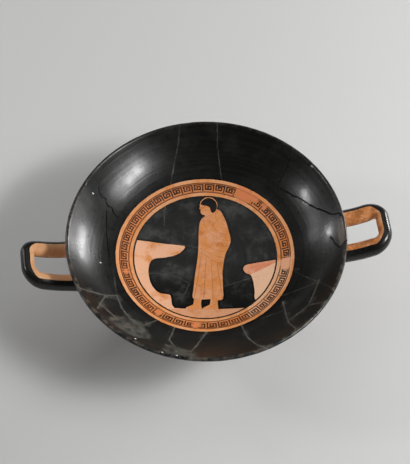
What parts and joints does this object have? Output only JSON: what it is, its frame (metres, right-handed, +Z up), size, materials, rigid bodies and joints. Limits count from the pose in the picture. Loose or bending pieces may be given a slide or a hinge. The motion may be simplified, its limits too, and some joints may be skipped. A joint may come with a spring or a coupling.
{
  "type": "kylix cup",
  "caption": "Wide shallow two-handled drinking cup of black-glazed clay on a stemmed foot, with a round picture in the bowl.",
  "frame": {"origin": "on the cup's axis, in the plane that the foot rests on", "axes": "+Z up along the cup's axis, handles along +X and -X, picture upright towards +Y"},
  "size_m": [0.3084, 0.23, 0.09],
  "materials": {
    "painted_pottery": "glossy black slip over orange fired clay, with a reserved picture, ring and inner handle faces; crazed joins of an old repair"
  },
  "bodies": {
    "root": {"kylix_cup": "painted_pottery"}
  },
  "joints": []
}
